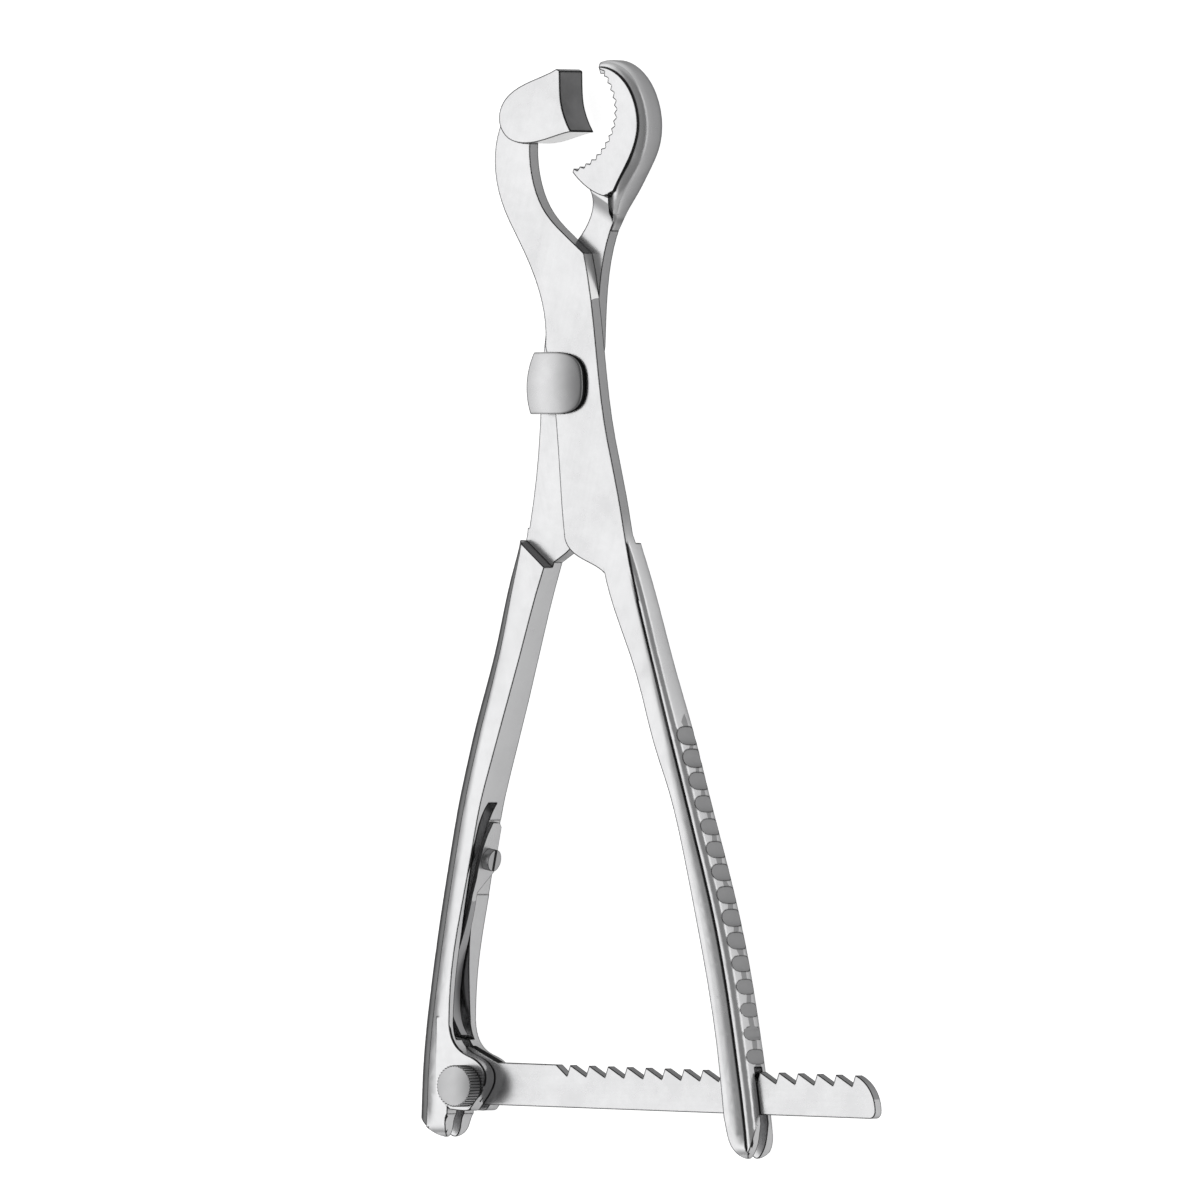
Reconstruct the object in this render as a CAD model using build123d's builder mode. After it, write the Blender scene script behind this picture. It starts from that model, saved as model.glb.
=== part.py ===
"""Bone holding forceps with a toothed cup jaw, a block jaw and a ratchet bar.

The forceps lie on their back: +X to the right, +Y towards the jaws, +Z up.
The origin is on the main pivot's axis, in the plane where the two levers lap.
The front lever has the left jaw and the right handle, the rear lever the others.
"""
import os
from math import cos, radians, sin

from build123d import *

# Lap joint
lap = 3.5                    # thickness of each lever where they cross
lap_gap = 0.04               # running clearance between the two lapped faces
stud_radius = 5.0
stud_fit = 0.05              # radial running clearance of the stud in the front lever
stud_seat_fit = 0.02         # radial clearance of the stud's foot in the rear lever
flats_width = 7.0            # the stud's width over its two flats
flats_angle = 62.0           # the front lever slides off when it is opened this far
mouth_width = 7.4            # the side mouth through which the stud's flats pass
foot_radius = 6.2            # the stud's riveted foot in the rear lever's back
foot_depth = 1.2

# Lock cap on the stud
cap_thickness = 1.95
cap_right = (5.4, 0.2)       # the round right edge at its widest
cap_gap = 0.05
cap_left = (-9.1, -11.1, -10.3)   # the left edge at the top, the middle and the bottom
cap_top = 7.6
cap_bottom = -7.1
cap_dome = 42.0              # radius of the cap's domed face
cap_dome_x = -1.0
cap_round = 0.5              # the rounding of the domed face's right edge
cap_shoulder = (-3.6, -2.6)  # where the straight top and bottom edges end

# Jaws
jaw_thickness = 9.5
block_top = (-2.2, 74.6)
block_bottom = (1.9, 59.7)
block_back = [(-6.4, 72.9), (-12.6, 70.6), (-17.6, 66.8), (-18.8, 62.6), (-16.6, 58.6),
              (-11.7, 57.1), (-5.5, 57.9)]
block_edge = (-1.35, 74.2)
block_grip = [(-1.3, 70.6), (-0.9, 66.2), (0.3, 62.6)]
cup_grip = [(10.5, 74.3), (13.1, 70.1), (14.5, 65.4), (13.3, 59.6), (9.3, 54.2), (2.8, 51.0)]
cup_lip = [(2.5, 50.1), (4.4, 48.2), (8.0, 45.7), (11.4, 44.4)]
cup_crease = [(13.9, 74.1), (18.1, 70.6), (20.6, 65.4), (21.1, 60.4), (19.6, 55.0),
              (16.4, 49.4), (14.2, 45.6)]
cup_tip = (9.9, 75.0)
cup_rim = 0.15               # the back's rim lies this far inside the flat sides' edge
# The round back: the crease's X and Y, how far it stands out, its top and bottom Z, and how
# far it reaches into the jaw
cup_back_stations = [(9.6, 75.0, 1.2, 4.1, -4.1, 1.6), (13.9, 74.1, 2.1, 4.1, -4.1, 1.6),
                     (18.1, 70.6, 2.1, 4.1, -4.1, 1.6), (20.6, 65.4, 2.1, 4.1, -4.1, 1.6),
                     (21.1, 60.4, 2.3, 4.1, -4.1, 1.6), (19.6, 55.0, 2.6, 4.1, -4.1, 1.6),
                     (16.4, 49.4, 2.6, 4.1, -4.1, 1.8), (14.2, 45.6, 2.2, 3.9, -4.1, 2.2),
                     (12.6, 42.6, 1.6, 2.4, -3.9, 2.2), (11.4, 39.8, 0.9, 0.6, -3.7, 1.8),
                     (9.9, 36.4, 0.5, -0.2, -3.45, 1.6)]
lip_round = (8.0, 6.8)       # the lip's round underside: its radius at the neck and in front
lip_round_span = (8.6, 3.4)  # its length and depth
lip_middle = (8.3, 45.6)
lip_angle = -30.0
tooth_count = 17
tooth_depth = 0.75

# Handles: Y, inner face X, crease X, thickness, how far the round back stands out, and how
# wide the band is in which the front face rounds down to the crease
right_stations = [(-34.0, 7.6, 15.1, 6.98, 0.8, 0.3), (-43.0, 10.4, 17.6, 6.98, 2.0, 0.4),
                  (-51.1, 12.9, 20.1, 7.4, 2.3, 0.5), (-60.6, 17.0, 23.0, 7.8, 2.3, 0.7),
                  (-74.8, 22.5, 27.4, 8.7, 2.5, 1.2), (-94.0, 29.4, 33.3, 9.5, 2.7, 2.0),
                  (-112.7, 35.1, 39.0, 10.2, 2.7, 2.9), (-131.0, 39.5, 44.0, 10.6, 2.8, 3.2),
                  (-152.5, 43.9, 48.3, 10.9, 2.9, 3.4), (-170.5, 46.3, 51.2, 11.1, 2.8, 3.5),
                  (-184.0, 47.9, 52.6, 11.1, 2.7, 3.5)]
left_stations = [(-34.0, -4.0, -13.2, 6.98, 0.6, 0.3), (-43.0, -6.5, -14.6, 6.98, 1.7, 0.4),
                 (-51.1, -9.3, -16.5, 7.4, 2.3, 0.6), (-63.0, -12.9, -19.2, 7.9, 2.6, 0.9),
                 (-74.8, -16.5, -22.5, 8.7, 2.9, 1.3), (-89.0, -21.0, -26.5, 9.3, 3.0, 1.6),
                 (-98.5, -23.9, -28.9, 9.7, 3.0, 2.0), (-114.1, -27.2, -32.0, 10.2, 3.0, 2.6),
                 (-126.2, -29.8, -34.2, 10.6, 3.0, 3.0), (-136.4, -31.7, -35.9, 10.8, 3.0, 3.2),
                 (-148.0, -32.7, -37.6, 11.0, 3.0, 3.3), (-165.0, -33.0, -39.3, 11.1, 3.0, 3.4),
                 (-180.0, -32.6, -40.2, 11.1, 3.0, 3.4)]
round_slope = 20.0           # how steep the front face has become at the crease
crease_wall = 0.5            # from the front face's edge down to the bead
bead_start = 0.15            # how steeply a bead leaves its crease
right_toe = [(46.2, -172.2), (47.7, -178.0), (49.5, -181.8), (51.2, -183.0), (52.8, -181.6),
             (54.2, -177.0), (55.2, -172.2)]
left_toe = [(-32.2, -172.2), (-34.0, -174.2), (-34.5, -176.6), (-35.7, -178.4), (-38.3, -177.4),
            (-41.4, -174.6), (-43.6, -172.2)]
toe_nose = 7.5               # length over which a toe rounds off in thickness
toe_end = 2.2                # half its thickness at the very end

# Grip scallops on the right handle's back
scallop_count = 15
scallop_radius = 3.6
scallop_depth = 0.55
scallop_line = [(32.3, -82.3), (39.5, -105.3), (46.8, -131.0), (52.3, -158.4)]  # on the crown

# Ratchet bar, along its own direction from its pivot
bar_pivot = (-28.2, -166.3)
bar_angle = -1.3
bar_thickness = 2.6
bar_above = 5.7              # from the pivot to the tips of the teeth
bar_below = 4.4
bar_length = 115.4
bar_plain = 23.4             # where the plain top edge ends and the teeth begin
bar_nose = 5.8               # length of the rounded end, without teeth
bar_nose_low = -2.4          # where the rounding ends
bar_nose_point = (1.7, 3.2)  # a point of the rounding, back from the end and below the top edge
bar_corner = 1.6
heel_top = (-4.3, 9.4)       # the heel that the spring pushes
heel_round = 1.3
heel_foot = 6.5              # where the heel's slope meets the top edge
notch_pitch = 5.47
notch_first = 26.6
notch_depth = 2.6
notch_rake = 0.85            # how far the steep flank leans
fork_slot = 3.1              # the slot in each handle's end, for the bar
fork_top = -154.0            # the closed end of the left handle's slot
slot_top = -161.4            # the closed end of the right handle's slot

# Thumbscrew
boss_thickness = 11.3
boss_neck = [(-32.9, -150.0), (-32.0, -155.0), (-27.4, -159.1)]
boss_round = [(-27.4, -159.1), (-22.5, -165.5), (-26.2, -171.2), (-32.6, -171.9)]
boss_back = [(-36.5, -168.0), (-36.5, -150.0)]
head_radius = 4.95
head_height = 4.8
head_gap = 0.05
head_dome_radius = 24.0
shank_radius = 2.2
thread_radius = 1.8
shank_fit = 0.05
thread_end = 0.3             # the thread ends this far inside the boss
knurl_count = 40
knurl_radius = 0.28

# Leaf spring and its screw
leaf_thickness = 0.9
leaf_seat_margin = 0.3       # the flat runs this far past the root's end
leaf_start = (-25.2, -103.6)                     # the milled flat that carries the root
leaf_end = (-28.75, -121.0)
leaf_path = [(-32.4, -133.0), (-34.8, -140.0), (-35.5, -146.5), (-34.4, -152.0)]
leaf_tip = (-32.8, -154.9)
leaf_tip_heading = (0.62, -0.78)
leaf_front = [(-103.8, -0.8), (-106.8, 0.7), (-110.0, 1.7), (-113.5, 2.2), (-117.0, 2.2),
              (-121.0, 2.8), (-128.0, 2.8), (-147.0, 2.6), (-152.0, 1.3), (-158.0, 1.3)]
leaf_rear = [(-103.8, -3.4), (-104.8, -4.5), (-115.4, -4.5), (-120.4, 1.0), (-128.0, 0.5),
             (-134.7, -0.5), (-142.0, -1.7), (-147.0, -1.7), (-152.0, -1.3), (-158.0, -1.3)]
groove_depth = 2.3           # below the root's flat
groove_front = [(-99.2, 1.6), (-103.0, 3.5), (-107.0, 4.2), (-116.0, 4.3), (-122.0, 4.0),
                (-129.0, 3.5), (-142.0, 3.5), (-154.6, 3.9)]
groove_rear = [(-99.2, -2.0), (-104.0, 0.1), (-112.0, 0.8), (-120.0, 0.6), (-128.8, 0.0),
               (-134.7, -0.9), (-142.0, -2.2), (-148.0, -3.0), (-154.6, -3.6)]
screw_height = -112.4
screw_z = -1.2
screw_head_radius = 2.6
screw_head_height = 1.9
screw_shank_radius = 1.25
screw_length = 4.6
screw_fit = 0.05
driver_width = 0.8
driver_depth = 0.9

os.makedirs("parts", exist_ok=True)

reach = 12.0                 # half height of every through cut
far = 30.0                   # longer than a lever is wide

# Places worked out from the sizes above
grip_line = Spline(*scallop_line)
notch_count = int((bar_length - bar_nose - notch_rake - notch_first) / notch_pitch) + 1
bar_plane = Plane(origin=(*bar_pivot, 0), x_dir=(cos(radians(bar_angle)), sin(radians(bar_angle)), 0),
                  z_dir=(0, 0, 1))
leaf_up = (Vector(*leaf_start) - Vector(*leaf_end)).normalized()
leaf_out = leaf_up.rotate(Axis.Z, -90)
leaf_plane = Plane(origin=Vector(*leaf_start) - leaf_up * (leaf_start[1] / leaf_up.Y),
                   x_dir=leaf_up, z_dir=leaf_out)
screw_plane = Plane(origin=leaf_plane.from_local_coords(Vector(screw_height / leaf_up.Y, screw_z)),
                    x_dir=leaf_up, z_dir=leaf_out)
leaf_bend = Spline(leaf_end, *leaf_path, leaf_tip, tangents=[-leaf_up, leaf_tip_heading])
leaf_face = [leaf_bend @ (n / 6) + (leaf_bend % (n / 6)).rotate(Axis.Z, 90) * leaf_thickness
             for n in range(7)]
cap_plane = Plane.XY.offset(lap + cap_gap)


def handle(stations, toe):
    """One handle, lofted through its stations: flat inside, rounded faces, a bead for a back."""
    slope = radians(round_slope)
    with BuildPart() as blank:
        for y, inner, crease, thickness, bulge, band in stations:
            out = 1 if crease > inner else -1
            half = thickness / 2
            edge = half - band * (1 - cos(slope)) / sin(slope)
            middle = half - band * (1 - cos(slope / 2)) / sin(slope)
            low = edge - crease_wall
            start = crease - out * band
            halfway = start + out * band * sin(slope / 2) / sin(slope)
            with BuildSketch(Plane.XZ.offset(-y)):
                with BuildLine():
                    Polyline((start, half), (inner, half), (inner, -half), (start, -half))
                    ThreePointArc((start, -half), (halfway, -middle), (crease, -edge))
                    Line((crease, -edge), (crease, -low))
                    Spline((crease, -low), (crease + out * bulge, 0), (crease, low),
                           tangents=[(out, -bead_start), (-out, -bead_start)])
                    Line((crease, low), (crease, edge))
                    ThreePointArc((crease, edge), (halfway, middle), (start, half))
                make_face()
        loft()
        with BuildSketch(Plane.XY.offset(-reach)):
            with Locations((toe[0][0], toe[0][1] - reach)):
                Rectangle(4 * reach, 2 * reach)
            with BuildLine():
                Spline(*toe)
                Line(toe[-1], toe[0])
            make_face(mode=Mode.SUBTRACT)
        extrude(amount=2 * reach, mode=Mode.SUBTRACT)
        half = stations[-1][3] / 2
        end = min(point[1] for point in toe)
        for side in (1, -1):
            with BuildSketch(Plane.YZ.offset(toe[0][0] - reach)):
                with BuildLine():
                    Spline((end + toe_nose, side * half), (end, side * toe_end),
                           tangents=[(-1, 0), (-0.25, -side)])
                    Polyline((end, side * toe_end), (end - 1, side * toe_end),
                             (end - 1, side * reach), (end + toe_nose, side * reach),
                             (end + toe_nose, side * half))
                make_face()
            extrude(amount=2 * reach, mode=Mode.SUBTRACT)
    return blank.part


def lap_plate(edge_out, edge_in, low, high):
    """A flat plate between two edges, each a list of smooth runs that share their ends."""
    with BuildPart() as plate:
        with BuildSketch(Plane.XY.offset(low)):
            with BuildLine():
                for run in edge_out + edge_in:
                    if len(run) > 2:
                        Spline(*run)
                    else:
                        Line(*run)
                Line(edge_out[-1][-1], edge_in[0][0])
                Line(edge_in[-1][-1], edge_out[0][0])
            make_face()
        extrude(amount=high - low)
    return plate.part


def along_leaf(points):
    """Places on the leaf's plane, given by their Y and Z."""
    return [(y / leaf_up.Y, z) for y, z in points]


def above_step(line, low, high):
    """The half of a handle's top that is cleared above the step, where the other lever laps."""
    (x0, y0), (x1, y1) = line
    along = Vector(x1 - x0, y1 - y0).normalized() * far
    start = Vector(x0, y0) - along
    end = Vector(x1, y1) + along
    with BuildPart() as cleared:
        with BuildSketch(Plane.XY.offset(low)):
            with BuildLine():
                Polyline(start, end, end + Vector(0, far), start + Vector(0, far), close=True)
            make_face()
        extrude(amount=high - low)
    return cleared.part


def cup_teeth():
    """The cup jaw's saw edge: tips on a smooth curve, valleys sunk between them."""
    edge = Spline(*cup_grip)
    points = []
    for number in range(tooth_count):
        points.append(edge @ (number / (tooth_count - 1)))
        if number < tooth_count - 1:
            share = (number + 0.5) / (tooth_count - 1)
            points.append(edge @ share + (edge % share).rotate(Axis.Z, 90) * tooth_depth)
    return points


def cup_back():
    """The cup jaw's round back, lofted along the crease down into the neck."""
    edge = Spline(*[station[:2] for station in cup_back_stations])
    with BuildPart() as back:
        for x, y, bulge, top, bottom, inner in cup_back_stations:
            share = edge.param_at_point((x, y))
            place = Plane(origin=(x, y), x_dir=(edge % share).rotate(Axis.Z, 90), z_dir=edge % share)
            with BuildSketch(place):
                with BuildLine():
                    Polyline((-cup_rim, bottom), (-inner, bottom + 0.6), (-inner, top - 0.6),
                             (-cup_rim, top))
                    Spline((-cup_rim, top), (bulge, (top + bottom) / 2), (-cup_rim, bottom),
                           tangents=[(1, -bead_start), (-1, -bead_start)])
                make_face()
        loft()
    return back.part


def lip_underside():
    """The lens shaped slope between the cup jaw's lip and the flat of its neck."""
    along = Plane(origin=(*lip_middle, 0),
                  x_dir=(cos(radians(lip_angle)), sin(radians(lip_angle)), 0), z_dir=(0, 0, 1))
    low = -lap / 2
    high = jaw_thickness / 2 - 0.05
    with BuildPart() as slope:
        with Locations(along.offset(low).location * Location((0, lip_round[1], 0))):
            Cone(lip_round[0], lip_round[1], high - low, align=(Align.CENTER, Align.CENTER, Align.MIN))
        with Locations(along.location):
            Box(lip_round_span[0], lip_round_span[1], 2 * reach, mode=Mode.INTERSECT)
    return slope.part


def lock_cap():
    """The domed cap: round on the right, nearly square on the left."""
    top = (cap_left[0], cap_top)
    bottom = (cap_left[2], cap_bottom)
    with BuildPart() as cap:
        with BuildSketch(cap_plane):
            with BuildLine():
                Line(top, (cap_shoulder[0], cap_top))
                Spline((cap_shoulder[0], cap_top), cap_right, (cap_shoulder[1], cap_bottom),
                       tangents=[(1, 0), (-1, 0)])
                Line((cap_shoulder[1], cap_bottom), bottom)
                ThreePointArc(bottom, (cap_left[1], 0.4), top)
            make_face()
        extrude(amount=cap_thickness)
        with Locations((cap_dome_x, 0, lap + cap_gap + cap_thickness - cap_dome)):
            Sphere(cap_dome, mode=Mode.INTERSECT)
        fillet(cap.faces().sort_by(Axis.Z)[-1].edges().sort_by(Axis.X)[-1], cap_round)
    return cap.part


teeth = cup_teeth()

# Front lever: block jaw, neck, lap and right handle
front_out = [[(-17.6, 64.2), (-19.9, 59.6), (-20.9, 53.6), (-18.5, 42.2), (-13.3, 32.9),
              (-8.6, 23.4), (-6.3, 9.0)],
             [(-6.3, 9.0), (-3.2, -8.5), (-1.4, -30.5), (-0.7, -36.6)],
             [(-0.7, -36.6), (0.9, -39.2), (8.6, -43.3), (12.9, -51.2)]]
front_in = [[(20.4, -51.2), (18.1, -42.8), (14.6, -25.6), (11.0, -10.2), (9.0, 3.0), (5.9, 26.0),
             (4.8, 31.0)],
            [(4.8, 31.0), (-0.2, 35.0), (-6.6, 41.2), (-10.3, 50.2), (-10.6, 58.6)],
            [(-10.6, 58.6), (-10.6, 64.2)]]
front_step = ((10.4, -43.6), (18.6, -36.6))

with BuildPart() as front_lever:
    add(handle(right_stations, right_toe))
    add(above_step(front_step, -reach, lap_gap / 2), mode=Mode.SUBTRACT)
    add(lap_plate(front_out, front_in, lap_gap / 2, lap))
    with BuildSketch(Plane.XY.offset(-jaw_thickness / 2)):
        with BuildLine():
            Spline(block_top, *block_back, block_bottom)
            Spline(block_bottom, *reversed(block_grip), block_edge)
            Line(block_edge, block_top)
        make_face()
    extrude(amount=jaw_thickness)
    with BuildSketch(Plane.XY.offset(-reach)):
        Circle(stud_radius + stud_fit)
        with Locations((-reach, 0)):
            Rectangle(2 * reach, mouth_width)
    extrude(amount=2 * reach, mode=Mode.SUBTRACT)
    with BuildSketch(Plane.XY.offset(-fork_slot / 2)):
        with Locations((right_toe[3][0], slot_top - 2 * reach)):
            Rectangle(4 * reach, 4 * reach)
    extrude(amount=fork_slot, mode=Mode.SUBTRACT)
    for number in range(scallop_count):
        spot = grip_line @ (number / (scallop_count - 1))
        with Locations((spot.X + scallop_radius - scallop_depth, spot.Y)):
            Cylinder(scallop_radius, jaw_thickness, mode=Mode.SUBTRACT)
front_lever.part.label = "front_lever"
export_step(front_lever.part, "parts/front_lever.step")

# Rear lever: cup jaw, neck, lap and left handle
rear_out = [[(17.0, 47.0), (12.6, 41.4), (8.9, 33.0), (6.9, 22.1), (6.2, 9.0)],
            [(6.2, 9.0), (3.4, -8.5), (1.6, -24.0), (0.4, -35.4)],
            [(0.4, -35.4), (-1.4, -38.9), (-4.6, -41.2), (-9.5, -51.2)]]
rear_in = [[(-16.6, -51.2), (-13.7, -36.0), (-11.8, -25.0), (-10.2, -8.5), (-9.6, 3.0),
            (-6.8, 22.0), (-4.8, 30.0)],
           [(-4.8, 30.0), (-0.4, 33.2), (3.4, 37.8), (5.0, 42.4), (3.9, 46.4)],
           [(3.9, 46.4), (6.0, 51.0)]]
rear_step = ((-14.2, -37.0), (-6.6, -43.4))

with BuildPart() as rear_lever:
    add(handle(left_stations, left_toe))
    add(above_step(rear_step, -lap_gap / 2, reach), mode=Mode.SUBTRACT)
    add(lap_plate(rear_out, rear_in, -lap, -lap_gap / 2))

    # The boss round the bar's pivot
    with BuildSketch(Plane.XY.offset(-boss_thickness / 2)):
        with BuildLine():
            Spline(*boss_neck, tangents=[(0.05, -1), (1, -0.35)])
            Spline(*boss_round, tangents=[(1, -0.35), (-1, 0.1)])
            Polyline(boss_round[-1], *boss_back, boss_neck[0])
        make_face()
    extrude(amount=boss_thickness)

    # The cup jaw's flat sides and its toothed edge
    with BuildSketch(Plane.XY.offset(-jaw_thickness / 2)):
        with BuildLine():
            Polyline(cup_tip, *teeth, cup_lip[0])
            Spline(*cup_lip)
            Line(cup_lip[-1], cup_crease[-1])
            Spline(*reversed(cup_crease), cup_tip)
        make_face()
    extrude(amount=jaw_thickness)
    add(cup_back())
    add(lip_underside())

    # The slot for the bar, the groove for the spring, and the bores
    with BuildSketch(Plane.XY.offset(-fork_slot / 2)):
        with Locations((left_toe[3][0], fork_top - 2 * reach)):
            Rectangle(4 * reach, 4 * reach)
    extrude(amount=fork_slot, mode=Mode.SUBTRACT)
    with BuildSketch(leaf_plane.offset(-groove_depth)):
        with BuildLine():
            Spline(*along_leaf(groove_front))
            Spline(*along_leaf(groove_rear))
            Line(along_leaf(groove_front)[0], along_leaf(groove_rear)[0])
            Line(along_leaf(groove_front)[-1], along_leaf(groove_rear)[-1])
        make_face()
    extrude(amount=far, mode=Mode.SUBTRACT)
    with BuildSketch(leaf_plane):
        with BuildLine():
            Polyline(*along_leaf([(leaf_start[1] + leaf_seat_margin, leaf_front[3][1]),
                                  (leaf_end[1], leaf_front[3][1]), (leaf_end[1], -reach),
                                  (leaf_start[1] + leaf_seat_margin, -reach)]), close=True)
        make_face()
    extrude(amount=far, mode=Mode.SUBTRACT)
    with Locations(screw_plane):
        Cylinder(screw_shank_radius + screw_fit, screw_length + screw_fit,
                 align=(Align.CENTER, Align.CENTER, Align.MAX), mode=Mode.SUBTRACT)
    with Locations((*bar_pivot, 0)):
        Cylinder(shank_radius + shank_fit, boss_thickness,
                 align=(Align.CENTER, Align.CENTER, Align.MIN), mode=Mode.SUBTRACT)
        Cylinder(thread_radius + shank_fit, 2 * reach, mode=Mode.SUBTRACT)
    Cylinder(stud_radius + stud_seat_fit, 2 * reach, mode=Mode.SUBTRACT)
    with Locations((0, 0, -lap)):
        Cylinder(foot_radius, foot_depth, align=(Align.CENTER, Align.CENTER, Align.MIN),
                 mode=Mode.SUBTRACT)
rear_lever.part.label = "rear_lever"
export_step(rear_lever.part, "parts/rear_lever.step")

# Pivot stud: a foot let into the rear lever, a shank with two flats, and the lock cap
with BuildPart() as pivot_stud:
    with Locations((0, 0, -lap)):
        Cylinder(foot_radius - stud_seat_fit, foot_depth - stud_seat_fit,
                 align=(Align.CENTER, Align.CENTER, Align.MIN))
        Cylinder(stud_radius, lap - lap_gap, align=(Align.CENTER, Align.CENTER, Align.MIN))
    with BuildSketch(Plane.XY.offset(-lap_gap)):
        Circle(stud_radius)
        with Locations(Rotation(0, 0, flats_angle)):
            Rectangle(4 * stud_radius, flats_width, mode=Mode.INTERSECT)
    extrude(amount=lap + cap_gap + lap_gap)
    add(lock_cap())
pivot_stud.part.label = "pivot_stud"
export_step(pivot_stud.part, "parts/pivot_stud.step")

# Ratchet bar, drawn along its own direction from its pivot
with BuildPart() as ratchet_bar:
    with BuildSketch(bar_plane.offset(-bar_thickness / 2)):
        with BuildLine():
            teeth_line = [(heel_top[0] + 2 * heel_round, heel_top[1]), (heel_foot, bar_above),
                          (bar_plain, bar_above)]
            for number in range(notch_count):
                foot = notch_first + number * notch_pitch
                teeth_line.append((foot, bar_above - notch_depth))
                teeth_line.append((foot + notch_rake, bar_above))
            Polyline(*teeth_line, (bar_length - bar_nose, bar_above))
            ThreePointArc((bar_length - bar_nose, bar_above),
                          (bar_length - bar_nose_point[0], bar_above - bar_nose_point[1]),
                          (bar_length, bar_nose_low))
            Line((bar_length, bar_nose_low), (bar_length, bar_corner - bar_below))
            RadiusArc((bar_length, bar_corner - bar_below), (bar_length - bar_corner, -bar_below),
                      bar_corner)
            Line((bar_length - bar_corner, -bar_below), (0, -bar_below))
            RadiusArc((0, -bar_below), (-bar_below, 0), bar_below)
            Line((-bar_below, 0), (-bar_below, heel_top[1] - heel_round))
            Line((-bar_below, heel_top[1] - heel_round), (heel_top[0] + heel_round, heel_top[1]))
            Line((heel_top[0] + heel_round, heel_top[1]), (heel_top[0] + 2 * heel_round, heel_top[1]))
        make_face()
    extrude(amount=bar_thickness)
    with Locations((*bar_pivot, 0)):
        Cylinder(shank_radius + shank_fit, 2 * reach, mode=Mode.SUBTRACT)
ratchet_bar.part.label = "ratchet_bar"
export_step(ratchet_bar.part, "parts/ratchet_bar.step")

# Thumbscrew: a knurled head, a plain shank and a thinner threaded end
with BuildPart() as thumbscrew:
    head_base = boss_thickness / 2 + head_gap
    thread_top = -fork_slot / 2
    with BuildSketch(Plane.XY.offset(head_base)):
        with Locations(bar_pivot):
            Circle(head_radius)
            with PolarLocations(head_radius, knurl_count):
                Circle(knurl_radius, mode=Mode.SUBTRACT)
    extrude(amount=head_height)
    with Locations((*bar_pivot, head_base + head_height - head_dome_radius)):
        Sphere(head_dome_radius, mode=Mode.INTERSECT)
    with Locations((*bar_pivot, thread_top)):
        Cylinder(shank_radius, head_base - thread_top, align=(Align.CENTER, Align.CENTER, Align.MIN))
        Cylinder(thread_radius, boss_thickness / 2 - fork_slot / 2 - thread_end,
                 align=(Align.CENTER, Align.CENTER, Align.MAX))
thumbscrew.part.label = "thumbscrew"
export_step(thumbscrew.part, "parts/thumbscrew.step")

# Leaf spring: its side view, trimmed to its outline as seen from the inside
with BuildPart() as leaf_spring:
    with BuildSketch(Plane.XY.offset(-reach / 2)):
        with BuildLine():
            Polyline(leaf_face[0], Vector(*leaf_start) + leaf_out * leaf_thickness, leaf_start, leaf_end)
            add(leaf_bend)
            Line(leaf_bend @ 1, leaf_face[-1])
            Spline(*leaf_face, tangents=[leaf_bend % 0, leaf_bend % 1])
        make_face()
    extrude(amount=reach)
    with BuildSketch(leaf_plane.offset(-far)):
        with BuildLine():
            Polyline(*along_leaf(leaf_front), *reversed(along_leaf(leaf_rear)), close=True)
        make_face()
    extrude(amount=2 * far, mode=Mode.INTERSECT)
    with Locations(screw_plane):
        Cylinder(screw_shank_radius + screw_fit, 4 * leaf_thickness, mode=Mode.SUBTRACT)
leaf_spring.part.label = "leaf_spring"
export_step(leaf_spring.part, "parts/leaf_spring.step")

# Spring screw: a cheese head with a driver slot
with BuildPart() as spring_screw:
    with Locations(screw_plane.offset(leaf_thickness)):
        Cylinder(screw_head_radius, screw_head_height, align=(Align.CENTER, Align.CENTER, Align.MIN))
        Cylinder(screw_shank_radius, screw_length + leaf_thickness,
                 align=(Align.CENTER, Align.CENTER, Align.MAX))
    with Locations(screw_plane.offset(leaf_thickness + screw_head_height)):
        Box(4 * screw_head_radius, driver_width, 2 * driver_depth, mode=Mode.SUBTRACT)
spring_screw.part.label = "spring_screw"
export_step(spring_screw.part, "parts/spring_screw.step")
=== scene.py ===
"""Looks of the bone holding forceps: ground steel levers, knurled thumbscrew, hard rolled spring."""

from math import cos, radians, sin

import bmesh
import bpy
from bpy.props import FloatProperty, FloatVectorProperty, PointerProperty
from mathutils import Matrix, Vector


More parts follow.
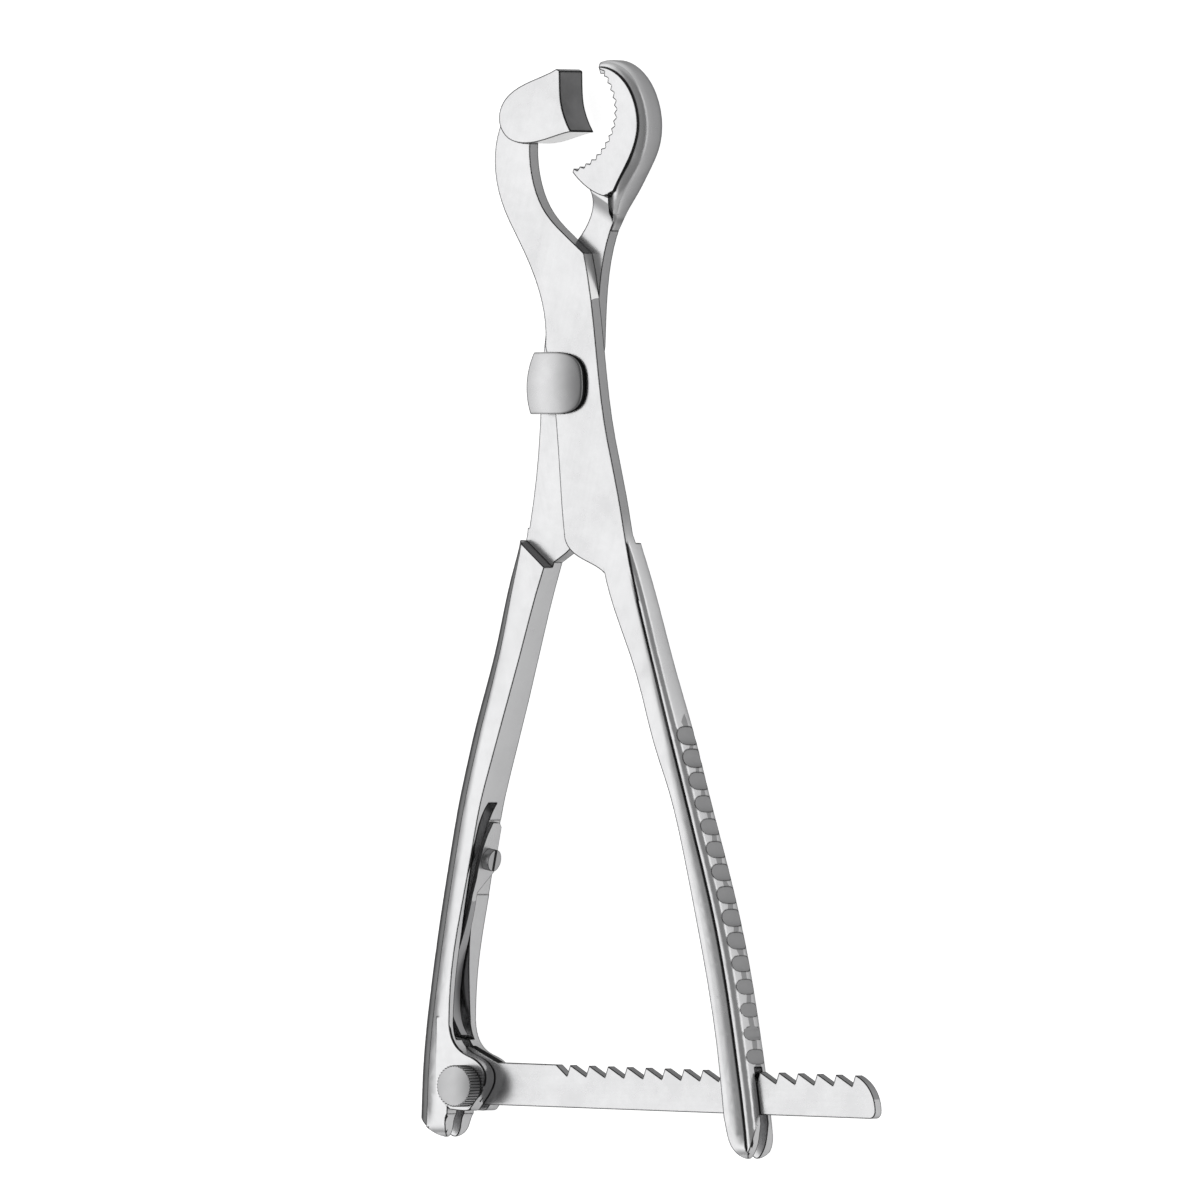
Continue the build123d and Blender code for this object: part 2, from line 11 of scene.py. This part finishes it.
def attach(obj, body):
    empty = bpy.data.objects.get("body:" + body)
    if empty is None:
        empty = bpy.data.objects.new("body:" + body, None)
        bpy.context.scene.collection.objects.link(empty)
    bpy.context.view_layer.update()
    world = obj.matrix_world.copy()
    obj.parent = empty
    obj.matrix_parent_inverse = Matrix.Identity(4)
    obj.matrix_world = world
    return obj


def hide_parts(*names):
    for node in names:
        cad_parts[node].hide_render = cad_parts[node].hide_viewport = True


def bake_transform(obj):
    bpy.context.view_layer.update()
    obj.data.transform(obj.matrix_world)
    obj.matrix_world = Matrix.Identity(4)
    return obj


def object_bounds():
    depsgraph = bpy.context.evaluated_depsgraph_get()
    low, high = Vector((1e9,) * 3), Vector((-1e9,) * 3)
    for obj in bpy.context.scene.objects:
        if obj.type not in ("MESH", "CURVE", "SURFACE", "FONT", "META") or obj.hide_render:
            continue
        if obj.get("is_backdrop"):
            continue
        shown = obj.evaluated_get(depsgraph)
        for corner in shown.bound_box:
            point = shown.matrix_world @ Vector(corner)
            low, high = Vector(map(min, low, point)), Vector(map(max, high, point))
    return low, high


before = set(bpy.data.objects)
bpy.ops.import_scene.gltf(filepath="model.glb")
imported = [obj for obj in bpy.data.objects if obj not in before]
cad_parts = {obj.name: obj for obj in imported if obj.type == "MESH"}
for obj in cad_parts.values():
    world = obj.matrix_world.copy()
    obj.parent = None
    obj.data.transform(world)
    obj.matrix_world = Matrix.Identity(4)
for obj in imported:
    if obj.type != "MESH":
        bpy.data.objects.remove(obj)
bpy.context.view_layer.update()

bl_info = {
    "name": "Bone holding forceps",
    "version": (1, 0, 0),
    "blender": (4, 5, 0),
    "location": "3D View > Sidebar > Forceps",
    "description": "Dresses the packed forceps in ground and brushed steel",
    "category": "Object",
}

MM = 0.001
MERGE_DISTANCE = 2e-6
GRAIN_DEPTH = 0.00002
FLAT = 0.99995  # z of the normal of a face that counts as flat
SMOOTH_ANGLE = 26.0  # degrees up to which an edge between two faces is smooth
DISSOLVE_ANGLE = 0.2
NORMAL, PLACE = 1, 3  # outputs of a Texture Coordinate node, in the object's own coordinates

# Boxes of faces with a tone of their own, painted light or painted shade: a low and a high corner, in mm
GRIP_FACE = ((-3, 59, -4.6), (4, 74, 4.6))
BLOCK_UNDERSIDE = ((-14, 55, -4.6), (3, 62, 4.6))
NECK_WALL = ((2, 20, -0.1), (16, 36, 3.6))
SCALLOPS = ((29, -163, -3.5), (57, -77, 3.5))
LIP_UNDERSIDE = ((3, 40, -0.1), (12.8, 49, 4.7))
FRONT_CREASE = ((14, -184, 2.9), (57, -34, 5.6))
REAR_CREASE = ((-45, -184, 2.9), (-13, -34, 5.6))
CUP_CREASE = ((9, 43, 3.6), (26, 78, 4.76))
CREASE_HEIGHT = 0.9
CAP_WALL = ((-12, -9, 3.5), (8, 9, 6.5))
TOOTH_FLANKS = ((-5, -172, -1.4), (95, -155, 1.4))
BAR_HEEL = ((-34, -163, -1.4), (-21, -154, 1.4))
SPRING_ROOT = ((-40, -122.5, -6), (-20, -100, 6))
# The left handle's bead, which gets painted shade, run by run: lower and upper Y, right hand X, top Z
BEAD_RUNS = ((-51, -36, -13.2, 3.25), (-63, -51, -16.4, 3.45), (-75, -63, -19.1, 3.7),
             (-89, -75, -22.4, 4.0), (-98.5, -89, -26.4, 4.18), (-114, -98.5, -28.8, 4.32),
             (-130, -114, -31.9, 4.47), (-148, -130, -34.8, 4.66), (-165, -148, -37.5, 4.7),
             (-182, -165, -39.2, 4.75))
BEAD_LEFT, BEAD_BOTTOM = -45, 0.3
# The boss's top: a low and a high corner of its box and the height it is brought to
BOSS_TOP = ((-36.6, -172.5, 5.47), (-20, -147.5, 5.7), 5.52)

PICTURE_MIDDLE = (5.807, -51.1)  # to the right of and above the pivot, in mm
FLOOR_GAP = 0.2
FLOOR_SIZE = 3.0


class ForcepsSteel(bpy.types.PropertyGroup):
    """Sizes and tones of the steel finishes and of the painted light and shade."""

    lever_tone: FloatVectorProperty(
        name="Lever steel", description="Colour of the ground levers", subtype="COLOR",
        size=3, min=0.0, max=1.0, default=(0.48, 0.48, 0.485))
    cap_tone: FloatVectorProperty(
        name="Cap steel", description="Colour of the lock cap and the stud", subtype="COLOR",
        size=3, min=0.0, max=1.0, default=(0.47, 0.47, 0.475))
    screw_tone: FloatVectorProperty(
        name="Screw steel", description="Colour of the thumbscrew and the spring's screw",
        subtype="COLOR", size=3, min=0.0, max=1.0, default=(0.36, 0.36, 0.364))
    # The grip face is rough, and its dark tone is partly painted shade from the cup jaw
    grip_tone: FloatVectorProperty(
        name="Grip face", description="Colour of the cast face of the block jaw", subtype="COLOR",
        size=3, min=0.0, max=1.0, default=(0.2, 0.2, 0.202))
    # Painted shade in the scallops, under the cup's lip and on the teeth's flanks
    recess_shade_tone: FloatVectorProperty(
        name="Scallops", description="Colour of the scallops, the lip's underside and the teeth",
        subtype="COLOR", size=3, min=0.0, max=1.0, default=(0.26, 0.26, 0.263))
    # Painted shade on the left handle's bead
    bead_shade_tone: FloatVectorProperty(
        name="Bead painted shade", description="Colour of the left handle's rounded back", subtype="COLOR",
        size=3, min=0.0, max=1.0, default=(0.12, 0.12, 0.1213))
    # Painted light on the block's underside and on the neck's wall
    lit_underside_tone: FloatVectorProperty(
        name="Underside painted light", description="Colour of the block's underside and the neck's wall",
        subtype="COLOR", size=3, min=0.0, max=1.0, default=(0.72, 0.72, 0.72))
    # Painted shade, near black, in the creases, on the cap's wall and on the bar's heel
    crevice_shade_tone: FloatVectorProperty(
        name="Crevice painted shade", description="Colour of the creases, the cap's wall and the bar's heel",
        subtype="COLOR", size=3, min=0.0, max=1.0, default=(0.03, 0.03, 0.03))
    bar_tone: FloatVectorProperty(
        name="Bar steel", description="Colour of the ratchet bar and the spring's root",
        subtype="COLOR", size=3, min=0.0, max=1.0, default=(0.47, 0.47, 0.475))
    # The spring's tongue is darker than its root: painted shade of the groove it lies in
    spring_shade_tone: FloatVectorProperty(
        name="Spring steel", description="Colour of the hard rolled spring", subtype="COLOR",
        size=3, min=0.0, max=1.0, default=(0.3, 0.3, 0.305))
    edge_radius: FloatProperty(
        name="Broken edges", description="Radius of the polished edges", unit="LENGTH",
        min=0.0, max=0.001, default=0.0005)


class ForcepsStudio(bpy.types.PropertyGroup):
    """Camera, floor and lights."""

    camera_turn: FloatProperty(
        name="Camera turn", description="How far the camera stands to the right of straight above",
        unit="ROTATION", default=radians(35))
    camera_distance: FloatProperty(
        name="Camera distance", description="From the camera to the middle of the forceps",
        unit="LENGTH", default=9.0)
    picture_height: FloatProperty(
        name="Picture height", description="Height of what the camera sees at the forceps",
        unit="LENGTH", default=0.28416)
    floor_tone: FloatVectorProperty(
        name="Floor", description="Colour of the floor", subtype="COLOR",
        size=3, min=0.0, max=1.0, default=(0.4, 0.4, 0.4))
    floor_glow: FloatProperty(
        name="Floor glow", description="Light that comes up through the floor", default=0.88)
    left_box: FloatProperty(
        name="Left softbox", description="Brightness of the big softbox on the left", default=1.52)
    right_strip: FloatProperty(
        name="Right strip", description="Brightness of the low strip light on the right", default=1.5)
    fill: FloatProperty(
        name="Fill", description="Brightness of the tent between the lights", default=0.42)


class Socket:
    """One output of a shader node, that can be used in an expression."""

    def __init__(self, shader, link):
        self.shader = shader
        self.link = link

    def __add__(self, other):
        return self.shader.math("ADD", self, other)

    def __mul__(self, other):
        return self.shader.math("MULTIPLY", self, other)

    def __sub__(self, other):
        return self.shader.math("SUBTRACT", self, other)

    def __rsub__(self, other):
        return self.shader.math("SUBTRACT", other, self)

    __radd__ = __add__
    __rmul__ = __mul__


class Shader:
    """A material, or a world, whose nodes are written as expressions."""

    def __init__(self, owner, surface, **fixed):
        self.owner = owner
        self.owner.use_nodes = True
        self.tree = owner.node_tree
        self.surface = self.tree.nodes[surface]
        for socket, value in fixed.items():
            self.surface.inputs[socket.replace("_", " ")].default_value = value

    def node(self, kind, settings=None, sockets=None):
        """A new node: its settings first, then the values or links of its sockets."""
        made = self.tree.nodes.new(kind)
        for name, value in (settings or {}).items():
            setattr(made, name, value)
        for name, value in (sockets or {}).items():
            self.join(made.inputs[name], value)
        return [Socket(self, out) for out in made.outputs]

    def math(self, operation, *values):
        return self.node("ShaderNodeMath", {"operation": operation}, dict(enumerate(values)))[0]

    def join(self, socket, value):
        if isinstance(value, Socket):
            self.tree.links.new(value.link, socket)
        else:
            socket.default_value = value

    def ramp(self, value, *edges):
        """1 where the value is between the middle edges, falling smoothly to 0 at the outer ones."""
        return self.smooth(value, edges[0], edges[1]) * self.smooth(value, edges[3], edges[2])

    def feed(self, **values):
        for name, value in values.items():
            self.join(self.surface.inputs[name.replace("_", " ")], value)

    def position(self, scale, turn=(0, 0, 0)):
        """Object coordinates, turned and then stretched."""
        place = self.node("ShaderNodeTexCoord")[PLACE]
        turned = self.node("ShaderNodeMapping", {}, {"Vector": place, "Rotation": turn})[0]
        return self.node("ShaderNodeMapping", {}, {"Vector": turned, "Scale": scale})[0]

    def noise(self, vector, scale, detail=3.0, roughness=0.5):
        return self.node("ShaderNodeTexNoise", {},
                         {"Vector": vector, "Scale": scale, "Detail": detail, "Roughness": roughness})[0]

    def range(self, value, low, high, to_low, to_high):
        return self.node("ShaderNodeMapRange", {}, {
            "Value": value, "From Min": low, "From Max": high, "To Min": to_low, "To Max": to_high})[0]

    def smooth(self, value, low, high):
        """0 below low, 1 above high and smooth between."""
        return self.node("ShaderNodeMapRange", {"interpolation_type": "SMOOTHSTEP"},
                         {"Value": value, "From Min": low, "From Max": high})[0]

    def parts(self, output):
        """X, Y and Z of the NORMAL or the PLACE, in the object's own coordinates."""
        return self.node("ShaderNodeSeparateXYZ", {},
                         {"Vector": self.node("ShaderNodeTexCoord")[output]})

    def tint(self, tone, factor):
        """tone made lighter or darker by a factor that changes over the surface."""
        return self.node("ShaderNodeMix", {"data_type": "RGBA", "blend_type": "MULTIPLY"}, {
            "Factor": 1.0, "A": (*tone, 1), "B": self.node(
                "ShaderNodeCombineColor", {}, {"Red": factor, "Green": factor, "Blue": factor})[0]})[2]


def ground_steel(name, tone, grain_turn, roughness, edge, rim=0.08, grain=0.12, mottle=0.1, graze=0.3,
                 painted_shade=None):
    """Steel ground along one direction and matt polished; its edges darken to rim times its tone, as
    painted shade along them.

    The last argument is a function of the shader that gives how much of the tone is left at each place, as
    painted shade.
    """
    steel = Shader(bpy.data.materials.new(name), "Principled BSDF", Metallic=1.0,
                   Specular_Tint=(graze, graze, graze, 1))
    along = steel.position((1.0, 0.03, 1.0), (0, 0, grain_turn))
    fine = steel.noise(along, 6000.0, 2.0)
    coarse = steel.noise(along, 1400.0, 3.0)
    cloud = steel.noise(steel.position((1, 1, 1)), 90.0, 4.0, 0.6)
    worn = steel.noise(steel.position((1, 1, 1)), 420.0, 3.0, 0.55)
    rounded = steel.node("ShaderNodeBevel", {"samples": 8}, {"Radius": edge})[0]
    straight = steel.node("ShaderNodeNewGeometry")[1]
    facing = steel.node("ShaderNodeVectorMath", {"operation": "DOT_PRODUCT"}, {0: rounded, 1: straight})[1]
    # Painted shade: at the edges, where the bevel's normal turns from the face's, the tone darkens toward
    # rim
    shade_factor = steel.node("ShaderNodeMapRange", {"interpolation_type": "SMOOTHSTEP"}, {
        "Value": facing, "From Min": 0.9985, "From Max": 0.98, "To Min": 1.0, "To Max": rim})[0]
    # The last argument's painted shade is laid over the edges' painted shade
    if painted_shade:
        shade_factor = shade_factor * painted_shade(steel)
    steel.feed(
        Base_Color=steel.tint(tone, shade_factor * (1.0 - mottle * cloud - 0.05 * worn + 0.05 * coarse)),
        Roughness=steel.range(cloud, 0.3, 0.7, roughness - 0.04, roughness + 0.05) + 0.04 * worn,
        Normal=steel.node("ShaderNodeBump", {}, {
            "Strength": grain, "Distance": GRAIN_DEPTH, "Height": 0.3 * fine + 0.5 * coarse + 0.2 * worn,
            "Normal": rounded})[0])
    return steel.owner


def shade_right_flanks(steel):
    """Painted shade on the right hand flanks from the lap upward; x of the normal is 1 on them."""
    side = steel.smooth(steel.parts(NORMAL)[0], 0.3, 0.95)
    return 1.0 - 0.4 * side * steel.smooth(steel.parts(PLACE)[1], -0.04, -0.03)


def shade_left_rounding_and_neck(steel):
    """Painted shade on the handle's left rounding, and a painted shadow on the neck under the cup's lip,
    with the right flanks' painted shade as well.
    """
    x, y, z = steel.parts(PLACE)
    rounding = steel.smooth(0.0 - steel.parts(NORMAL)[0], 0.0, 0.5)
    below = steel.ramp(0.0481 - 0.577 * x - y, -0.0002, 0.0002, 0.0014, 0.0048)
    neck = steel.ramp(x, 0.002, 0.003, 0.0115, 0.0125) * steel.smooth(y, 0.034, 0.036) * (
        1.0 - steel.smooth(z, 0.0006, 0.001))
    return shade_right_flanks(steel) * (1.0 - 0.8 * rounding) * (1.0 - 0.6 * below * neck)


def cap_painted_gradient(steel):
    """Painted light and shade on the cap, light on its left and dark toward its right edge."""
    return 1.0 - 0.64 * steel.ramp(steel.parts(PLACE)[0], -0.0075, 0.0052, 0.00525, 0.0057)


def light_tent(look):
    """A grey tent with a big softbox on the left and a low strip light on the right."""
    tent = Shader(bpy.data.worlds.new("light tent"), "Background")
    way = tent.node("ShaderNodeTexCoord")[0]
    x, y, z = tent.node("ShaderNodeSeparateXYZ", {}, {"Vector": way})
    lean = tent.math("ARCTAN2", x, z)
    left = tent.ramp(lean, radians(-85), radians(-42), radians(-33), radians(-8))
    right = tent.ramp(lean, radians(58), radians(72), radians(92), radians(110))
    ends = tent.ramp(y, -0.9, -0.55, 0.6, 0.95)
    low = tent.smooth(tent.math("ABSOLUTE", y), 0.7, 0.9)
    glow = look.fill + 0.4 * low + ends * (look.left_box * left + look.right_strip * right)
    tent.feed(Color=tent.tint((1, 1, 1), glow))
    return tent.owner


def polished_copy(node, name, material, level=None):
    """A merged copy of a CAD node with smooth curved faces; its sharp edges and flats are kept.

    level is a low and a high corner in mm, and the height its vertices are brought to.
    """
    mesh = bmesh.new()
    mesh.from_mesh(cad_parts[node].data)
    bmesh.ops.remove_doubles(mesh, verts=mesh.verts, dist=MERGE_DISTANCE)
    if level:
        low, high, height = level
        for vert in mesh.verts:
            if all(a * MM < c < b * MM for a, c, b in zip(low, vert.co, high)):
                vert.co.z = height * MM
        bmesh.ops.dissolve_degenerate(mesh, dist=MERGE_DISTANCE, edges=mesh.edges)
    bmesh.ops.dissolve_limit(mesh, angle_limit=radians(DISSOLVE_ANGLE), verts=mesh.verts,
                             edges=mesh.edges)
    for face in mesh.faces:
        face.smooth = True
        face.material_index = 0
    for edge in mesh.edges:
        sides = {abs(face.normal.z) > FLAT for face in edge.link_faces}
        edge.smooth = len(sides) == 1 and edge.calc_face_angle(0.0) < radians(SMOOTH_ANGLE)
    data = bpy.data.meshes.new(name)
    mesh.to_mesh(data)
    mesh.free()
    data.materials.append(material)
    piece = bpy.data.objects.new(name, data)
    bpy.context.scene.collection.objects.link(piece)
    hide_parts(node)
    return piece


def faces_in(piece, material, box, test, tall=20.0):
    """Gives a material to the faces in a box that are no taller than tall and pass a test."""
    low, high = box
    if material.name not in piece.data.materials:
        piece.data.materials.append(material)
    for face in piece.data.polygons:
        heights = [piece.data.vertices[corner].co.z for corner in face.vertices]
        inside = all(a * MM < c < b * MM for a, c, b in zip(low, face.center, high))
        if inside and max(heights) - min(heights) < tall * MM and test(face.normal):
            face.material_index = piece.data.materials.find(material.name)


class FORCEPS_OT_levers(bpy.types.Operator):
    """Make the two levers."""

    bl_idname = "forceps.levers"
    bl_label = "Levers"

    def execute(self, context):
        look = context.scene.forceps_steel
        steels = {}
        # Both levers get painted shade on their right flanks; the rear one also on its left rounding and
        # on the neck under the cup's lip
        for node, turn, painted_shade in (("front_lever", 14, shade_right_flanks),
                                  ("rear_lever", -12, shade_left_rounding_and_neck)):
            steels[node] = ground_steel(node + " steel", look.lever_tone, radians(turn), 0.22,
                                        look.edge_radius, painted_shade=painted_shade)
        levers = {}
        for node, steel in steels.items():
            levers[node] = polished_copy(node, node + "_finished", steel,
                                         BOSS_TOP if node == "rear_lever" else None)
            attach(levers[node], node)
        front, rear = levers["front_lever"], levers["rear_lever"]
        # Rough grip face whose dark tone is partly painted shade from the cup jaw
        grip = ground_steel("Rough grip face in painted shade", look.grip_tone, radians(90), 0.42, 2 * look.edge_radius,
                            rim=0.1, grain=0.5, mottle=0.5)
        faces_in(front, grip, GRIP_FACE, lambda way: way.x > 0.5)
        # Painted light on the block's underside
        under = ground_steel("Underside painted light", look.lit_underside_tone, 0.0, 0.3, look.edge_radius, graze=0.8)
        faces_in(front, under, BLOCK_UNDERSIDE, lambda way: way.y < -0.5)
        # Painted shade in the scallops
        scallop = ground_steel("Scallops painted shade", look.recess_shade_tone, radians(14), 0.3,
                               look.edge_radius, grain=0.25)
        faces_in(front, scallop, SCALLOPS, lambda way: way.x > 0.3 and abs(way.z) < 0.02)
        # Painted light on the neck's wall
        faces_in(front, under, NECK_WALL, lambda way: way.x > 0.5)
        # Painted shade on the lip's underside
        lip = ground_steel("Lip underside", look.recess_shade_tone, 0.0, 0.3, look.edge_radius)
        faces_in(rear, lip, LIP_UNDERSIDE, lambda way: way.y < -0.3 and 0.05 < way.z < 0.5)
        # Painted shade on the left handle's bead, run by run
        bead = ground_steel("Bead painted shade", look.bead_shade_tone, radians(-12), 0.3, look.edge_radius)
        for lower, upper, right, top in BEAD_RUNS:
            faces_in(rear, bead, ((BEAD_LEFT, lower, BEAD_BOTTOM), (right, upper, top)),
                     lambda way: way.x < 0.25 and way.z > 0.02)
        # Painted shade, near black, in the creases of both handles and at the cup's crease
        crease = ground_steel("Crease painted shade", look.crevice_shade_tone, 0.0, 0.5, look.edge_radius / 3)
        for lever, box in ((front, FRONT_CREASE), (rear, REAR_CREASE), (rear, CUP_CREASE)):
            faces_in(lever, crease, box, lambda way: abs(way.z) < 0.25, tall=CREASE_HEIGHT)
        return {"FINISHED"}


class FORCEPS_OT_stud(bpy.types.Operator):
    """Make the stud with its lock cap."""

    bl_idname = "forceps.stud"
    bl_label = "Pivot stud"

    def execute(self, context):
        look = context.scene.forceps_steel
        # The stud's steel carries the cap's painted shade, light on its left and dark toward its right
        steel = ground_steel("Stud steel", look.cap_tone, radians(60), 0.26, look.edge_radius,
                             rim=0.04, painted_shade=cap_painted_gradient)
        # Painted shade, near black, on the cap's wall
        wall = ground_steel("Cap wall painted shade", look.crevice_shade_tone, 0.0, 0.5, look.edge_radius)
        stud = polished_copy("pivot_stud", "pivot_stud_finished", steel)
        faces_in(stud, wall, CAP_WALL, lambda way: way.z < 0.2)
        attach(stud, "rear_lever")
        return {"FINISHED"}


class FORCEPS_OT_ratchet_bar(bpy.types.Operator):
    """Make the ratchet bar."""

    bl_idname = "forceps.ratchet_bar"
    bl_label = "Ratchet bar"

    def execute(self, context):
        look = context.scene.forceps_steel
        steel = ground_steel("Ratchet bar steel", look.bar_tone, radians(89), 0.24, look.edge_radius)
        bar = polished_copy("ratchet_bar", "ratchet_bar_finished", steel)
        # Painted shade on the teeth's flanks
        flank = ground_steel("Tooth flanks painted shade", look.recess_shade_tone, radians(50), 0.35, look.edge_radius,
                             grain=0.3)
        faces_in(bar, flank, TOOTH_FLANKS, lambda way: way.y > 0.3 and way.x > 0.3)
        # Painted shade, near black, on the bar's heel
        heel = ground_steel("Heel painted shade", look.crevice_shade_tone, 0.0, 0.5, look.edge_radius)
        faces_in(bar, heel, BAR_HEEL, lambda way: way.y > 0.2)
        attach(bar, "ratchet_bar")
        return {"FINISHED"}


class FORCEPS_OT_screws(bpy.types.Operator):
    """Make the thumbscrew and the spring's screw."""

    bl_idname = "forceps.screws"
    bl_label = "Screws"

    def execute(self, context):
        look = context.scene.forceps_steel
        steel = ground_steel("Screw steel", look.screw_tone, radians(40), 0.3, look.edge_radius / 2)
        knob = polished_copy("thumbscrew", "thumbscrew_finished", steel)
        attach(knob, "thumbscrew")
        screw = polished_copy("spring_screw", "spring_screw_finished", steel)
        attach(screw, "rear_lever")
        return {"FINISHED"}


class FORCEPS_OT_leaf_spring(bpy.types.Operator):
    """Make the leaf spring and bake its place into its mesh."""

    bl_idname = "forceps.leaf_spring"
    bl_label = "Leaf spring"

    def execute(self, context):
        look = context.scene.forceps_steel
        # Painted shade: the tongue, down in its groove, is darker than the root, which keeps the bar's
        # lighter tone
        steel = ground_steel("Spring steel", look.spring_shade_tone, radians(-12), 0.36, look.edge_radius / 2)
        leaf = polished_copy("leaf_spring", "leaf_spring_finished", steel)
        root = ground_steel("Spring root", look.bar_tone, radians(-12), 0.26, look.edge_radius / 2)
        faces_in(leaf, root, SPRING_ROOT, lambda way: way.x > 0.5)
        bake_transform(leaf)
        return {"FINISHED"}


class FORCEPS_OT_studio(bpy.types.Operator):
    """Make the floor, the lights and the camera."""

    bl_idname = "forceps.studio"
    bl_label = "Studio"

    def execute(self, context):
        look = context.scene.forceps_studio
        turn = look.camera_turn
        right = Vector((cos(turn), 0, -sin(turn)))
        toward = Vector((sin(turn), 0, cos(turn)))
        middle = right * PICTURE_MIDDLE[0] * MM + Vector((0, PICTURE_MIDDLE[1] * MM, 0))

        shader = Shader(bpy.data.materials.new("Floor paper"), "Principled BSDF", Roughness=0.9,
                        Emission_Color=(1, 1, 1, 1), Emission_Strength=look.floor_glow)
        grain = shader.noise(shader.position((1, 1, 1)), 500.0, 3.0)
        shader.feed(Base_Color=shader.tint(look.floor_tone, 0.985 + 0.03 * grain))
        mesh = bmesh.new()
        bmesh.ops.create_grid(mesh, x_segments=2, y_segments=2, size=FLOOR_SIZE)
        bmesh.ops.translate(mesh, verts=mesh.verts, vec=(0, 0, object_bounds()[0][2] - FLOOR_GAP * MM))
        data = bpy.data.meshes.new("floor")
        mesh.to_mesh(data)
        mesh.free()
        data.materials.append(shader.owner)
        floor = bpy.data.objects.new("floor", data)
        context.scene.collection.objects.link(floor)
        floor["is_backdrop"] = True

        eye = bpy.data.cameras.new("camera")
        eye.sensor_width = 36.0
        eye.lens = 36.0 * look.camera_distance / look.picture_height
        camera = bpy.data.objects.new("camera", eye)
        spot = middle + toward * look.camera_distance
        camera.matrix_world = Matrix((
            (right.x, 0, toward.x, spot.x),
            (right.y, 1, toward.y, spot.y),
            (right.z, 0, toward.z, spot.z),
            (0, 0, 0, 1)))
        context.scene.collection.objects.link(camera)
        context.scene.camera = camera

        context.scene.world = light_tent(look)
        context.scene.view_settings.view_transform = "Standard"
        return {"FINISHED"}


class FORCEPS_PT_sidebar(bpy.types.Panel):
    """The forceps' pieces and sizes."""

    bl_label = "Forceps"
    bl_idname = "FORCEPS_PT_sidebar"
    bl_space_type = "VIEW_3D"
    bl_region_type = "UI"
    bl_category = "Forceps"

    def draw(self, context):
        for settings in (context.scene.forceps_steel, context.scene.forceps_studio):
            box = self.layout.box()
            for name in settings.bl_rna.properties.keys():
                if name not in ("rna_type", "name"):
                    box.prop(settings, name)
        for operator in OPERATORS:
            self.layout.operator(operator.bl_idname)


OPERATORS = (FORCEPS_OT_levers, FORCEPS_OT_stud, FORCEPS_OT_ratchet_bar, FORCEPS_OT_screws,
             FORCEPS_OT_leaf_spring, FORCEPS_OT_studio)
CLASSES = (ForcepsSteel, ForcepsStudio, *OPERATORS, FORCEPS_PT_sidebar)


def register():
    for item in CLASSES:
        bpy.utils.register_class(item)
    bpy.types.Scene.forceps_steel = PointerProperty(type=ForcepsSteel)
    bpy.types.Scene.forceps_studio = PointerProperty(type=ForcepsStudio)


def unregister():
    del bpy.types.Scene.forceps_studio
    del bpy.types.Scene.forceps_steel
    for item in reversed(CLASSES):
        bpy.utils.unregister_class(item)


def main():
    register()
    bpy.ops.forceps.levers()
    bpy.ops.forceps.stud()
    bpy.ops.forceps.ratchet_bar()
    bpy.ops.forceps.screws()
    bpy.ops.forceps.leaf_spring()
    bpy.ops.forceps.studio()


if __name__ == "__main__":
    main()
